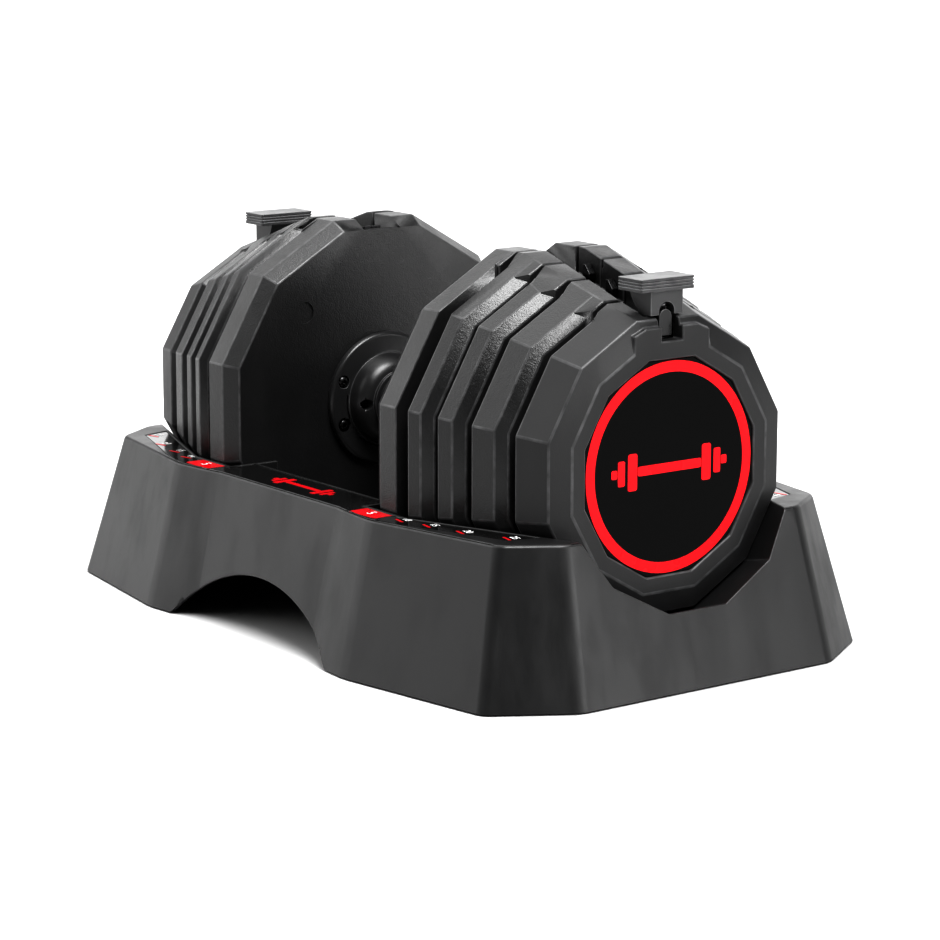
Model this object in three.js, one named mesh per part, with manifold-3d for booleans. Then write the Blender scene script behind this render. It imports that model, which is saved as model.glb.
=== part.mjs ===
// Adjustable dumbbell on its storage cradle. Millimetres, +Z up, X along the handle.
// The origin is the centre of the footprint, on the floor. The right bell is at +X, and
// the left bell is the same set of pieces turned half a turn about Z.
import * as THREE from 'three';
import { mergeVertices } from 'three/addons/utils/BufferGeometryUtils.js';
import Module from 'manifold-3d';

// ---------------------------------------------------------------- driving dimensions
const GAP = 0.3; // air left between pieces that touch
const BEYOND = 245; // past the cradle's edge on every side, for cutting tools
const AXIS_Z = 113.8; // height of the handle's axis

const CRADLE = {
  height: 84.8,
  skirtZ: 1, // the skirt's lower edge; the feet reach the floor
  wall: 3,
  rimChamfer: 1.2,
  // one quarter of the plan outline, from the end wall to the middle of the long side
  bottom: [[230, 87.1], [202.6, 131], [99.9, 147.1], [74, 144.7], [59.5, 142.2]],
  top: [[207.9, 80.9], [188.6, 110.1], [97, 127.1], [74, 124.7], [59.5, 122.2]],
};
const ARCH = { halfWidth: 80, height: 34.5, fillet: 11, innerY: 112 };
const RECESS = { halfLength: 66, topHalfWidth: 92, floorHalfWidth: 80, floorZ: 44 };
const HAND_GAP = 78; // half width of the opening between the recess and each well
const LABEL = {
  pocket: 1.2, thickness: 0.7, wellMargin: 2.4,
  // one quarter of the label's outer edge, from its end to the middle of the long side
  edge: [[189.2, 64], [181.5, 98.5], [158.7, 106.2], [117.8, 120.6], [98, 125.2], [74, 123.1], [59.5, 120.6]],
};
const FOOT = { x: 184, y: 97, radius: 9, height: 4, postHalf: 8, postDepth: 14 };
// Low ridges in each well that keep the plates apart, in the grooves between their chamfers.
const RIB = { at: [97.6, 119.45, 139.85, 165.8], thickness: 2, reach: 2.5, top: 52 };

// The bells are twelve-sided: a full-size inner part, then a taper towards the outside.
const BELL = { radius: 111, taperX: 104.8, slope: 0.328, wellGap: 1.6, wellWall: 2.6, wellX: 69 };
const PLATE_CHAMFER = { outer: 5.5, inner: 4.2 };
const BOSS = { bottom: AXIS_Z + 60, top: AXIS_Z + 120 }; // how far up a plate its boss reaches
const CLEAR_Z = AXIS_Z + 130; // above every piece of the bell
const INNER_PLATE = { face: 70, faceRadius: 105, rimIn: 79.4, rimOut: 94, bossOut: 97, bossHalf: 40 };
const PLATES = [
  { name: 'plate_2', rimIn: 105, rimOut: 113, bossIn: 99.5, bossOut: 119, bossHalf: 39.5 },
  { name: 'plate_3', rimIn: 123.8, rimOut: 132.8, bossIn: 121, bossOut: 138.8, bossHalf: 37.5 },
  { name: 'plate_4', rimIn: 144.8, rimOut: 158.8, bossIn: 141, bossOut: 166.5, bossHalf: 35 },
];
const OUTER_PLATE = {
  rimIn: 171.5, rimOut: 191.5, face: 195.5, faceRadius: 69.5,
  bossIn: 169, bossHalf: 26, bossTop: 189.7, bossInHalf: 32.5,
};
const BADGE = { radius: 60, face: 194.3, thickness: 1.2 };
const DIMPLE = { orbit: 79, radius: 6.5, depth: 1 };

// The channel runs along the top of the bell, parallel to the taper.
const CHANNEL = { halfWidth: 13, depth: 16, end: 187, notchHalf: 7, notchFloor: 182 };
const RAIL = { start: 80, end: 186, halfWidth: 6, thickness: 3 };
const KEEPER = { innerY: 8.3, length: 6, height: 9, setBack: 4 };
const TAB = {
  capIn: 171.5, capOut: 191.5, capHalf: 18.5, capBottom: 208, capTop: 215, capBevel: 1,
  stemHalf: 11, stemOut: 190.5, stemBottom: 195.2, footHalf: 7, footIn: 173, footOut: 182,
  archHalf: 5.2, archTop: 202, archIn: 183.4,
};
const TONGUE = { half: 4.3, in: 184, out: 189.5, bottom: 183.8, top: 198 };
const SPRING = { radius: 1.6, wire: 0.5, turns: 4, bore: 2.5, top: 206.6 };

const SHAFT = { radius: 8, halfLength: 93.4 };
const GRIP = { halfLength: 50.5, radius: 16.6, waist: 17.6 };
const FLANGE = { radius: 40, thickness: 4, domeRadius: 27, neckRadius: 18.6, neckX: 51 };
const SCREW = { orbit: 33.6, angle: 22.5, headRadius: 3.3, headHeight: 2.4, shank: 1.8, reach: 12 };
const SCREW_POCKET = { radius: 3.9, depth: 1.9, clearance: 0.4 };
const NUT = { pocketX: 86, pocketRadius: 17, washer: 1.5, washerRadius: 15, height: 5.5, radius: 13 };

// ---------------------------------------------------------------- solids
const wasm = await Module();
wasm.setup();

function toSolid(geometry) {
  const bare = geometry.clone();
  bare.deleteAttribute('normal');
  bare.deleteAttribute('uv');
  const merged = mergeVertices(bare, 1e-4);
  return new wasm.Manifold(new wasm.Mesh({
    numProp: 3,
    vertProperties: new Float32Array(merged.attributes.position.array),
    triVerts: new Uint32Array(merged.index.array),
  }));
}

function toGeometry(solid) {
  const mesh = solid.getMesh();
  const geometry = new THREE.BufferGeometry();
  geometry.setAttribute('position', new THREE.BufferAttribute(mesh.vertProperties, 3));
  geometry.setIndex(new THREE.BufferAttribute(mesh.triVerts, 1));
  geometry.computeVertexNormals();
  return geometry;
}

const join = (first, ...others) => others.reduce((sum, other) => sum.add(other), first);
const cut = (first, ...tools) => tools.reduce((rest, tool) => rest.subtract(tool), first);

// A closed skin over loops that all have the same number of points. Each loop runs
// anticlockwise as seen from the side that the loops progress towards.
function loft(loops) {
  const count = loops[0].length;
  const points = loops.flat();
  const index = [];
  for (let ring = 0; ring + 1 < loops.length; ring += 1) {
    for (let i = 0; i < count; i += 1) {
      const next = (i + 1) % count;
      const [a, b] = [ring * count + i, ring * count + next];
      index.push(a, b, b + count, a, b + count, a + count);
    }
  }
  for (const ring of [0, loops.length - 1]) {
    const centre = points.length;
    const middle = new THREE.Vector3();
    loops[ring].forEach((point) => middle.addScaledVector(point, 1 / count));
    points.push(middle);
    for (let i = 0; i < count; i += 1) {
      const [a, b] = [ring * count + i, ring * count + (i + 1) % count];
      index.push(...(ring === 0 ? [centre, b, a] : [centre, a, b]));
    }
  }
  const geometry = new THREE.BufferGeometry().setFromPoints(points);
  geometry.setIndex(index);
  return toSolid(geometry);
}

function box([x0, x1], [y0, y1], [z0, z1]) {
  const geometry = new THREE.BoxGeometry(x1 - x0, y1 - y0, z1 - z0);
  return toSolid(geometry.translate((x0 + x1) / 2, (y0 + y1) / 2, (z0 + z1) / 2));
}

// A round bar along X, centred on (y, z).
function barX([x0, x1], radius, y = 0, z = AXIS_Z, sides = 24) {
  const geometry = new THREE.CylinderGeometry(radius, radius, x1 - x0, sides);
  return toSolid(geometry.rotateZ(-Math.PI / 2).translate((x0 + x1) / 2, y, z));
}

// A lathed body about the handle's axis, from [x, radius] points that run along the outside
// towards +X and back through the bore.
function latheX(profile, segments = 30) {
  const closed = [...profile, profile[0]].map(([x, radius]) => new THREE.Vector2(radius, x));
  const geometry = new THREE.LatheGeometry(closed, segments);
  return toSolid(geometry.rotateZ(-Math.PI / 2).translate(0, 0, AXIS_Z));
}

// An outline of [x, z] points, extruded across Y.
function slabY(outline, [y0, y1]) {
  const shape = new THREE.Shape(outline.map(([x, z]) => new THREE.Vector2(x, z)));
  const geometry = new THREE.ExtrudeGeometry(shape, { depth: y1 - y0, bevelEnabled: false });
  return toSolid(geometry.rotateX(Math.PI / 2).translate(0, y1, 0));
}

// ---------------------------------------------------------------- the bell's twelve-sided taper
const bellRadius = (x) => BELL.radius - BELL.slope * Math.max(0, x - BELL.taperX);
const FLAT = Math.cos(Math.PI / 12); // a flat's distance from the axis, over the radius
const topLine = (x) => AXIS_Z + FLAT * (BELL.radius - BELL.slope * (x - BELL.taperX));

function dodecagon(x, radius) {
  return Array.from({ length: 12 }, (_, i) => {
    const angle = (i + 0.5) * Math.PI / 6;
    return new THREE.Vector3(x, radius * Math.cos(angle), AXIS_Z + radius * Math.sin(angle));
  });
}

function bellCone(x0, x1, grow = 0) {
  const stations = [x0, ...(x0 < BELL.taperX && x1 > BELL.taperX ? [BELL.taperX] : []), x1];
  return loft(stations.map((x) => dodecagon(x, bellRadius(x) + grow)));
}

// The thick top of a plate, which closes up to its neighbours beside the channel.
function boss(x0, x1, half) {
  return bellCone(x0, x1).intersect(box([x0, x1], [-half, half], [BOSS.bottom, BOSS.top]));
}

function channel(start, end) {
  const floor = (x) => topLine(x) - CHANNEL.depth;
  const outline = [[start, floor(start)], [end, floor(end)], [end, CLEAR_Z], [start, CLEAR_Z]];
  return slabY(outline, [-CHANNEL.halfWidth, CHANNEL.halfWidth]);
}

// ---------------------------------------------------------------- cradle
// Mirrors a quarter outline into the whole plan, anticlockwise seen from above.
function wholeOutline(quarter) {
  const back = [...quarter].reverse();
  return [
    ...quarter,
    ...back.map(([x, y]) => [-x, y]),
    ...quarter.map(([x, y]) => [-x, -y]),
    ...back.map(([x, y]) => [x, -y]),
  ];
}

// Moves every side of an anticlockwise outline inwards by the same distance.
function insetOutline(outline, distance) {
  const count = outline.length;
  return outline.map(([x, y], i) => {
    const [px, py] = outline[(i + count - 1) % count];
    const [nx, ny] = outline[(i + 1) % count];
    const before = new THREE.Vector2(x - px, y - py).normalize();
    const after = new THREE.Vector2(nx - x, ny - y).normalize();
    const inward = new THREE.Vector2(-before.y - after.y, before.x + after.x).normalize();
    const scale = distance / (-before.y * inward.x + before.x * inward.y);
    return [x + inward.x * scale, y + inward.y * scale];
  });
}

function outlineAt(z, inset = 0) {
  const t = z / CRADLE.height;
  const [low, high] = [wholeOutline(CRADLE.bottom), wholeOutline(CRADLE.top)];
  const outline = low.map(([x, y], i) => [x + (high[i][0] - x) * t, y + (high[i][1] - y) * t]);
  return insetOutline(outline, inset).map(([x, y]) => new THREE.Vector3(x, y, z));
}

function fingerRecess(grow, bottom, top) {
  const half = RECESS.halfLength + grow;
  const floor = RECESS.floorHalfWidth + grow;
  const slope = (RECESS.topHalfWidth - RECESS.floorHalfWidth) / (CRADLE.height - RECESS.floorZ);
  const loop = (z) => {
    const y = floor + slope * (z - RECESS.floorZ);
    return [[half, y], [-half, y], [-half, -y], [half, -y]].map(([a, b]) => new THREE.Vector3(a, b, z));
  };
  return loft([loop(bottom), loop(top)]);
}

// Both wells for the bells, opened up to the given grow, as a list.
function wells(grow, start, end) {
  const right = bellCone(start, end, grow);
  const left = loft([-end, -BELL.taperX, -start].map((x) => dodecagon(x, bellRadius(-x) + grow)));
  return [right, left];
}

function archOutline() {
  const { halfWidth, height, fillet } = ARCH;
  const radius = (halfWidth ** 2 + height ** 2) / (2 * height);
  const centreZ = height - radius;
  const reach = Math.sqrt((radius + fillet) ** 2 - (fillet - centreZ) ** 2);
  const touch = Math.atan2(fillet - centreZ, reach);
  const shape = new THREE.Shape();
  shape.moveTo(reach, -20);
  shape.lineTo(reach, 0);
  shape.absarc(reach, fillet, fillet, -Math.PI / 2, touch + Math.PI, true);
  shape.absarc(0, centreZ, radius, touch, Math.PI - touch, false);
  shape.absarc(-reach, fillet, fillet, -touch, -Math.PI / 2, true);
  shape.lineTo(-reach, -20);
  return shape.getPoints(10).map(({ x, y }) => [x, y]);
}

// The label's outline as a block: the deck between the wells and the rim, on one side.
function labelBlock(side, grow, bottom, top) {
  const margin = LABEL.wellMargin - grow;
  const edge = insetOutline(wholeOutline(LABEL.edge), -grow);
  const block = loft([bottom, top].map((z) => edge.map(([x, y]) => new THREE.Vector3(x, y, z))));
  const half = box([-BEYOND, BEYOND], side > 0 ? [20, BEYOND] : [-BEYOND, -20], [0, BEYOND]);
  const openings = wells(BELL.wellGap + margin, BELL.wellX - margin, BEYOND);
  return cut(block.intersect(half), fingerRecess(margin, 40, 90), ...openings);
}

function cradleShell() {
  const { height, skirtZ, wall, rimChamfer } = CRADLE;
  const block = loft([
    outlineAt(skirtZ),
    outlineAt(height - rimChamfer),
    outlineAt(height, rimChamfer * 0.75),
  ]);
  const hollow = loft([outlineAt(-1, wall), outlineAt(height - wall, wall)]);
  const skins = join(
    fingerRecess(wall, RECESS.floorZ - wall, 100),
    ...wells(BELL.wellGap + BELL.wellWall, BELL.wellX - wall, BEYOND),
  ).intersect(block);
  const openings = join(
    fingerRecess(0, RECESS.floorZ, 100),
    box([-BELL.wellX - 1, BELL.wellX + 1], [-HAND_GAP, HAND_GAP], [RECESS.floorZ, 100]),
    ...wells(BELL.wellGap, BELL.wellX, BEYOND),
  );
  const arches = [[-BEYOND, -ARCH.innerY], [ARCH.innerY, BEYOND]].map((span) => slabY(archOutline(), span));
  const floorCut = box([-BEYOND, BEYOND], [-BEYOND, BEYOND], [-10, skirtZ]);
  let shell = cut(join(cut(block, hollow, ...arches), skins), openings, floorCut);
  for (const [sx, sy] of [[1, 1], [1, -1], [-1, 1], [-1, -1]]) {
    const [x, y] = [sx * FOOT.x, sy * FOOT.y];
    const depth = FOOT.postDepth / 2;
    const post = box(
      [x - FOOT.postHalf, x + FOOT.postHalf],
      [y - depth, y + depth],
      [FOOT.height + GAP, height - wall + 0.5],
    );
    shell = shell.add(cut(post, openings));
  }
  const ribs = RIB.at.flatMap((x) => [x, -x]).map((x) => {
    const ring = (half, grow) => (
      loft([x - half, x + half].map((at) => dodecagon(at, bellRadius(Math.abs(at)) + grow)))
    );
    const band = ring(RIB.thickness / 2, BELL.wellGap + BELL.wellWall / 2);
    const ridge = band.subtract(ring(RIB.thickness, -RIB.reach));
    return ridge.intersect(box([-BEYOND, BEYOND], [-BEYOND, BEYOND], [0, RIB.top]));
  });
  shell = join(shell, ...ribs);
  const pockets = [-1, 1].map((side) => labelBlock(side, GAP, height - LABEL.pocket, height + 1));
  return cut(shell, ...pockets);
}

function deckLabel(side) {
  const bottom = CRADLE.height - LABEL.pocket + GAP;
  return labelBlock(side, 0, bottom, bottom + LABEL.thickness);
}

function foot() {
  const geometry = new THREE.CylinderGeometry(FOOT.radius, FOOT.radius - 1, FOOT.height, 24);
  return toSolid(geometry.rotateX(Math.PI / 2).translate(0, 0, FOOT.height / 2));
}

// ---------------------------------------------------------------- plates
function weightPlate(plate) {
  const { rimIn, rimOut } = plate;
  const { inner, outer } = PLATE_CHAMFER;
  const disc = loft([
    dodecagon(rimIn - inner, bellRadius(rimIn) - inner),
    dodecagon(rimIn, bellRadius(rimIn)),
    dodecagon(rimOut, bellRadius(rimOut)),
    dodecagon(rimOut + outer, bellRadius(rimOut) - outer),
  ]);
  const top = boss(plate.bossIn, plate.bossOut, plate.bossHalf);
  return cut(join(disc, top), channel(rimIn - 20, rimOut + 20));
}

function outerPlate() {
  const { rimIn, rimOut, face, faceRadius, bossIn, bossHalf, bossTop, bossInHalf } = OUTER_PLATE;
  const disc = loft([
    dodecagon(rimIn - PLATE_CHAMFER.inner, bellRadius(rimIn) - PLATE_CHAMFER.inner),
    dodecagon(rimIn, bellRadius(rimIn)),
    dodecagon(rimOut, bellRadius(rimOut)),
    dodecagon(face, faceRadius),
  ]);
  const back = boss(bossIn, rimOut, bossInHalf);
  const front = boss(rimOut - 1, face, bossHalf)
    .intersect(box([100, 220], [-60, 60], [AXIS_Z, bossTop]));
  const seat = BADGE.face - BADGE.thickness - GAP;
  const recess = loft([seat, face + 1].map((x) => dodecagon(x, BADGE.radius + GAP)));
  const { notchHalf, notchFloor, end } = CHANNEL;
  const notch = box([end - 2, face + 2], [-notchHalf, notchHalf], [notchFloor, CLEAR_Z]);
  return cut(join(disc, back, front), recess, channel(bossIn - 5, end), notch);
}

function badge() {
  return loft([BADGE.face - BADGE.thickness, BADGE.face].map((x) => dodecagon(x, BADGE.radius)));
}

// ---------------------------------------------------------------- handle
const screwAngles = [-1, 1].flatMap((side) => [0, 180].map((turn) => turn + side * SCREW.angle));

function screwPlaces() {
  return screwAngles.map((degrees) => {
    const angle = THREE.MathUtils.degToRad(degrees);
    return [SCREW.orbit * Math.cos(angle), AXIS_Z + SCREW.orbit * Math.sin(angle)];
  });
}

function innerPlate() {
  const { face, faceRadius, rimIn, rimOut, bossOut, bossHalf } = INNER_PLATE;
  const disc = loft([
    dodecagon(face, faceRadius),
    dodecagon(rimIn, BELL.radius),
    dodecagon(rimOut, BELL.radius),
  ]);
  const holes = screwPlaces().map(([y, z]) => (
    barX([face - 1, face + SCREW.reach], SCREW.shank + SCREW_POCKET.clearance, y, z, 12)
  ));
  const dimples = [45, 135, 225, 315].map((degrees) => {
    const angle = THREE.MathUtils.degToRad(degrees);
    const [y, z] = [DIMPLE.orbit * Math.cos(angle), AXIS_Z + DIMPLE.orbit * Math.sin(angle)];
    return barX([face - 1, face + DIMPLE.depth], DIMPLE.radius, y, z);
  });
  return cut(
    join(disc, boss(rimOut - 1, bossOut, bossHalf)),
    channel(face - 5, bossOut + 5),
    barX([face - 1, rimOut], SHAFT.radius + GAP),
    barX([NUT.pocketX, rimOut + 1], NUT.pocketRadius),
    ...holes,
    ...dimples,
  );
}

function shaft() {
  return barX([-SHAFT.halfLength, SHAFT.halfLength], SHAFT.radius, 0, AXIS_Z, 32);
}

// A slightly barrelled sleeve, thickest in the middle of the palm.
function grip() {
  const { halfLength, radius, waist } = GRIP;
  const steps = 8;
  const outside = Array.from({ length: steps + 1 }, (_, i) => {
    const t = i / steps;
    return [halfLength * (1 - 2 * t), radius + (waist - radius) * Math.sin(Math.PI * t)];
  });
  const bore = SHAFT.radius + GAP;
  return latheX([[-halfLength, bore], ...outside.reverse(), [halfLength, bore]]);
}

// The round flange screwed to the inner plate, with the dome that meets the grip.
function flange() {
  const back = INNER_PLATE.face - GAP;
  const front = back - FLANGE.thickness;
  const { radius, domeRadius, neckRadius, neckX } = FLANGE;
  const steps = 6;
  const dome = Array.from({ length: steps + 1 }, (_, i) => {
    const angle = (i / steps) * Math.PI / 2;
    const x = front - (front - neckX - 2) * Math.sin(angle);
    return [x, neckRadius + (domeRadius - neckRadius) * Math.cos(angle)];
  });
  const bore = SHAFT.radius + GAP;
  const body = latheX([
    [back, bore], [back, radius - 0.5], [back - 0.8, radius], [front + 1.5, radius], [front, radius - 1.5],
    ...dome, [neckX, neckRadius], [neckX, bore],
  ].reverse());
  const pockets = screwPlaces().flatMap(([y, z]) => [
    barX([front - 20, front + SCREW_POCKET.depth], SCREW_POCKET.radius, y, z, 16),
    barX([front - 1, back + 1], SCREW.shank + SCREW_POCKET.clearance, y, z, 12),
  ]);
  return cut(body, ...pockets);
}

function flangeScrew([y, z]) {
  const seat = INNER_PLATE.face - GAP - FLANGE.thickness + SCREW_POCKET.depth - GAP;
  const head = barX([seat - SCREW.headHeight, seat], SCREW.headRadius, y, z, 16);
  const shank = barX([seat - 0.5, INNER_PLATE.face + SCREW.reach - 1], SCREW.shank, y, z, 12);
  const socket = barX([seat - SCREW.headHeight - 1, seat - 1], 1.5, y, z, 6);
  return cut(join(head, shank), socket);
}

function washer() {
  const start = NUT.pocketX + GAP;
  const ring = barX([start, start + NUT.washer], NUT.washerRadius, 0, AXIS_Z, 32);
  return ring.subtract(barX([start - 1, start + 5], SHAFT.radius + GAP));
}

function nut() {
  const start = NUT.pocketX + 2 * GAP + NUT.washer;
  const hexagon = barX([start, start + NUT.height], NUT.radius, 0, AXIS_Z, 6);
  return hexagon.subtract(barX([start - 1, start + 10], SHAFT.radius + GAP));
}

// ---------------------------------------------------------------- selector
const channelFloor = (x) => topLine(x) - CHANNEL.depth;

function rail() {
  const { start, end, halfWidth, thickness } = RAIL;
  const [low, high] = [GAP, GAP + thickness];
  return slabY([
    [start, channelFloor(start) + low], [end, channelFloor(end) + low],
    [end, channelFloor(end) + high], [start, channelFloor(start) + high],
  ], [-halfWidth, halfWidth]);
}

// A small steel catch on the back wall of a plate's channel.
function keeper(outerX) {
  const [x0, x1] = [outerX - KEEPER.setBack - KEEPER.length, outerX - KEEPER.setBack];
  return slabY([
    [x0, channelFloor(x0) + GAP], [x1, channelFloor(x1) + GAP],
    [x1, channelFloor(x1) + KEEPER.height - 3], [x0 + 2, channelFloor(x0) + KEEPER.height],
    [x0, channelFloor(x0) + KEEPER.height],
  ], [KEEPER.innerY, CHANNEL.halfWidth - GAP]);
}

function selectorTab() {
  const { capIn, capOut, capHalf, capBottom, capTop, capBevel, stemHalf, stemOut, stemBottom } = TAB;
  const capLoop = (z, inset) => [
    [capOut - inset, capHalf - inset], [capIn + inset, capHalf - inset],
    [capIn + inset, -capHalf + inset], [capOut - inset, -capHalf + inset],
  ].map(([x, y]) => new THREE.Vector3(x, y, z));
  const cap = loft([
    capLoop(capBottom, capBevel), capLoop(capBottom + capBevel, 0),
    capLoop(capTop - capBevel, 0), capLoop(capTop, capBevel),
  ]);
  const sweep = new THREE.CubicBezierCurve(
    new THREE.Vector2(capIn + 1, capBottom + 1),
    new THREE.Vector2(capIn + 2.5, 202),
    new THREE.Vector2(178, 197),
    new THREE.Vector2(185, stemBottom),
  );
  const stem = slabY([
    ...sweep.getPoints(8).map(({ x, y }) => [x, y]),
    [stemOut, stemBottom], [stemOut, capBottom + 1],
  ], [-stemHalf, stemHalf]);
  const railTop = (x) => channelFloor(x) + RAIL.thickness + 2 * GAP;
  const foot = slabY([
    [TAB.footIn, railTop(TAB.footIn)], [TAB.footOut, railTop(TAB.footOut)],
    [TAB.footOut, 204], [TAB.footIn + 4, 204],
  ], [-TAB.footHalf, TAB.footHalf]);
  const arch = roundTopped(TAB.archHalf, TAB.archIn, stemOut + 1, 150, TAB.archTop);
  const [boreBottom, boreTop] = [TAB.archTop - 2, SPRING.top + GAP];
  const bore = new THREE.CylinderGeometry(SPRING.bore, SPRING.bore, boreTop - boreBottom, 16)
    .rotateX(Math.PI / 2)
    .translate((TONGUE.in + TONGUE.out) / 2, 0, (boreTop + boreBottom) / 2);
  return cut(join(cap, stem, foot), arch, toSolid(bore));
}

// A bar with a half-round top, seen along X.
function roundTopped(half, x0, x1, bottom, top) {
  const steps = 10;
  const loop = (x) => [
    new THREE.Vector3(x, -half, bottom),
    new THREE.Vector3(x, half, bottom),
    ...Array.from({ length: steps + 1 }, (_, i) => {
      const angle = (i / steps) * Math.PI;
      return new THREE.Vector3(x, half * Math.cos(angle), top - half + half * Math.sin(angle));
    }),
  ];
  return loft([loop(x0), loop(x1)]);
}

function lockTongue() {
  return roundTopped(TONGUE.half, TONGUE.in, TONGUE.out, TONGUE.bottom, TONGUE.top);
}

class Helix extends THREE.Curve {
  getPoint(t, target = new THREE.Vector3()) {
    const angle = t * SPRING.turns * 2 * Math.PI;
    const start = TONGUE.top + GAP + SPRING.wire;
    const rise = SPRING.top - GAP - SPRING.wire - start;
    const x = (TONGUE.in + TONGUE.out) / 2;
    return target.set(x + SPRING.radius * Math.cos(angle), SPRING.radius * Math.sin(angle), start + rise * t);
  }
}

function tongueSpring() {
  const section = new THREE.Shape().absarc(0, 0, SPRING.wire, 0, 2 * Math.PI, false);
  const path = { steps: SPRING.turns * 10, curveSegments: 3, extrudePath: new Helix() };
  return new THREE.ExtrudeGeometry(section, path);
}

// ---------------------------------------------------------------- assembly
const material = (color, roughness, metalness) => (
  new THREE.MeshStandardMaterial({ color, roughness, metalness })
);
const LOOKS = {
  cradle: material(0x2a2a2b, 0.5, 0),
  label: material(0x141415, 0.25, 0),
  rubber: material(0x151515, 0.9, 0),
  plate: material(0x3a3a3b, 0.55, 0.2),
  outer: material(0x444445, 0.5, 0),
  badge: material(0x0a0a0b, 0.12, 0),
  steel: material(0x9a9b9d, 0.35, 1),
  dark: material(0x1c1c1d, 0.4, 0.1),
  grip: material(0x1a1a1a, 0.85, 0),
};

const dumbbell = new THREE.Group();

function addPiece(parent, name, shape, look) {
  const geometry = shape.isBufferGeometry ? shape : toGeometry(shape);
  const mesh = new THREE.Mesh(geometry, LOOKS[look]);
  mesh.name = name;
  parent.add(mesh);
  return mesh;
}

addPiece(dumbbell, 'cradle_shell', cradleShell(), 'cradle');
addPiece(dumbbell, 'deck_label_front', deckLabel(-1), 'label');
addPiece(dumbbell, 'deck_label_back', deckLabel(1), 'label');
const corners = [
  ['front_left', -1, -1],
  ['front_right', 1, -1],
  ['back_left', -1, 1],
  ['back_right', 1, 1],
];
for (const [corner, sx, sy] of corners) {
  addPiece(dumbbell, `foot_${corner}`, foot(), 'rubber').position.set(sx * FOOT.x, sy * FOOT.y, 0);
}
addPiece(dumbbell, 'handle_shaft', shaft(), 'steel');
addPiece(dumbbell, 'handle_grip', grip(), 'grip');

for (const side of ['right', 'left']) {
  const bell = new THREE.Group();
  bell.rotation.z = side === 'left' ? Math.PI : 0;
  dumbbell.add(bell);
  addPiece(bell, `grip_flange_${side}`, flange(), 'dark');
  screwPlaces().forEach((place, i) => {
    addPiece(bell, `flange_screw_${i + 1}_${side}`, flangeScrew(place), 'steel');
  });
  addPiece(bell, `shaft_washer_${side}`, washer(), 'steel');
  addPiece(bell, `shaft_nut_${side}`, nut(), 'steel');
  addPiece(bell, `inner_plate_${side}`, innerPlate(), 'plate');
  for (const plate of PLATES) {
    addPiece(bell, `${plate.name}_${side}`, weightPlate(plate), 'plate');
    addPiece(bell, `${plate.name}_keeper_${side}`, keeper(plate.bossOut), 'steel');
  }
  addPiece(bell, `outer_plate_${side}`, outerPlate(), 'outer');
  addPiece(bell, `outer_plate_keeper_${side}`, keeper(CHANNEL.end - 1), 'steel');
  addPiece(bell, `badge_${side}`, badge(), 'badge');
  addPiece(bell, `selector_rail_${side}`, rail(), 'steel');
  addPiece(bell, `selector_tab_${side}`, selectorTab(), 'dark');
  addPiece(bell, `lock_tongue_${side}`, lockTongue(), 'dark');
  addPiece(bell, `tongue_spring_${side}`, tongueSpring(), 'steel');
}

export default dumbbell;
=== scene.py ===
"""An adjustable dumbbell resting in its storage tray.

The shapes are worked in millimetres and each finished piece is scaled to metres. X runs along
the handle and Z is up. One bell is described, at +X; the other is the same bell turned round.
"""
import math

import bmesh
import bpy
from mathutils import Matrix, Vector


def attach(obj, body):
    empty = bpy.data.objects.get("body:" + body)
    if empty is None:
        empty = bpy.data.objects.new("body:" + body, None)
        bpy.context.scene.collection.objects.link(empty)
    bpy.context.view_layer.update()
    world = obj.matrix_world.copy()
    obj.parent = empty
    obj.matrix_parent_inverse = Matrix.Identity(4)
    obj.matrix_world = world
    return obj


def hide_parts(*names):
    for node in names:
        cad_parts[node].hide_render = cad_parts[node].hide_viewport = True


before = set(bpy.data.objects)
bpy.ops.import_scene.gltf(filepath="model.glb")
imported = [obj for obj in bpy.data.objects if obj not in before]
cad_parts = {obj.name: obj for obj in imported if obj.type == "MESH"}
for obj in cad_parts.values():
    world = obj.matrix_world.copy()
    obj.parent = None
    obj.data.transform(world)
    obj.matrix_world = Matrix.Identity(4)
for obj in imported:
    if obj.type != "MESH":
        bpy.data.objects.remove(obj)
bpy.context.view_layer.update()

# ------------------------------------------------------------------ dimensions, millimetres
GAP = 0.3
AXIS = 113.8  # height of the handle's axis
DECK = 84.8  # height of the tray's deck

TRAY_BOTTOM = [(230, 87.1), (202.6, 131), (99.9, 147.1), (74, 144.7), (59.5, 142.2)]
TRAY_TOP = [(207.9, 80.9), (188.6, 110.1), (97, 127.1), (74, 124.7), (59.5, 122.2)]
TRAY_WALL = 3
TRAY_CORNER, TRAY_RIM = 4.5, 1.8
ARCH_END = 62  # the tray's corners are rounded only beyond this, past the flat middle of a side
LABEL_EDGE = [
    (189.2, 64), (181.5, 98.5), (158.7, 106.2), (117.8, 120.6), (98, 125.2), (74, 123.1), (59.5, 120.6)]
LABEL_TOP = DECK - 0.4
LABEL_MARGIN = 2.4
SKIRT = 1
ARCH_HALF, ARCH_HEIGHT, ARCH_FILLET, ARCH_INNER = 80, 34.5, 11, 112
HAND_HALF, HAND_TOP, HAND_FLOOR, HAND_FLOOR_Z = 66, 92, 80, 44
WELL_GAP, WELL_WALL, WELL_START = 1.6, 2.6, 69
RIBS, RIB_THICK, RIB_REACH, RIB_TOP = (97.6, 119.45, 139.85, 165.8), 2, 2.5, 52
FOOT_X, FOOT_Y, FOOT_RADIUS, FOOT_HEIGHT = 184, 97, 9, 4

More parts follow.
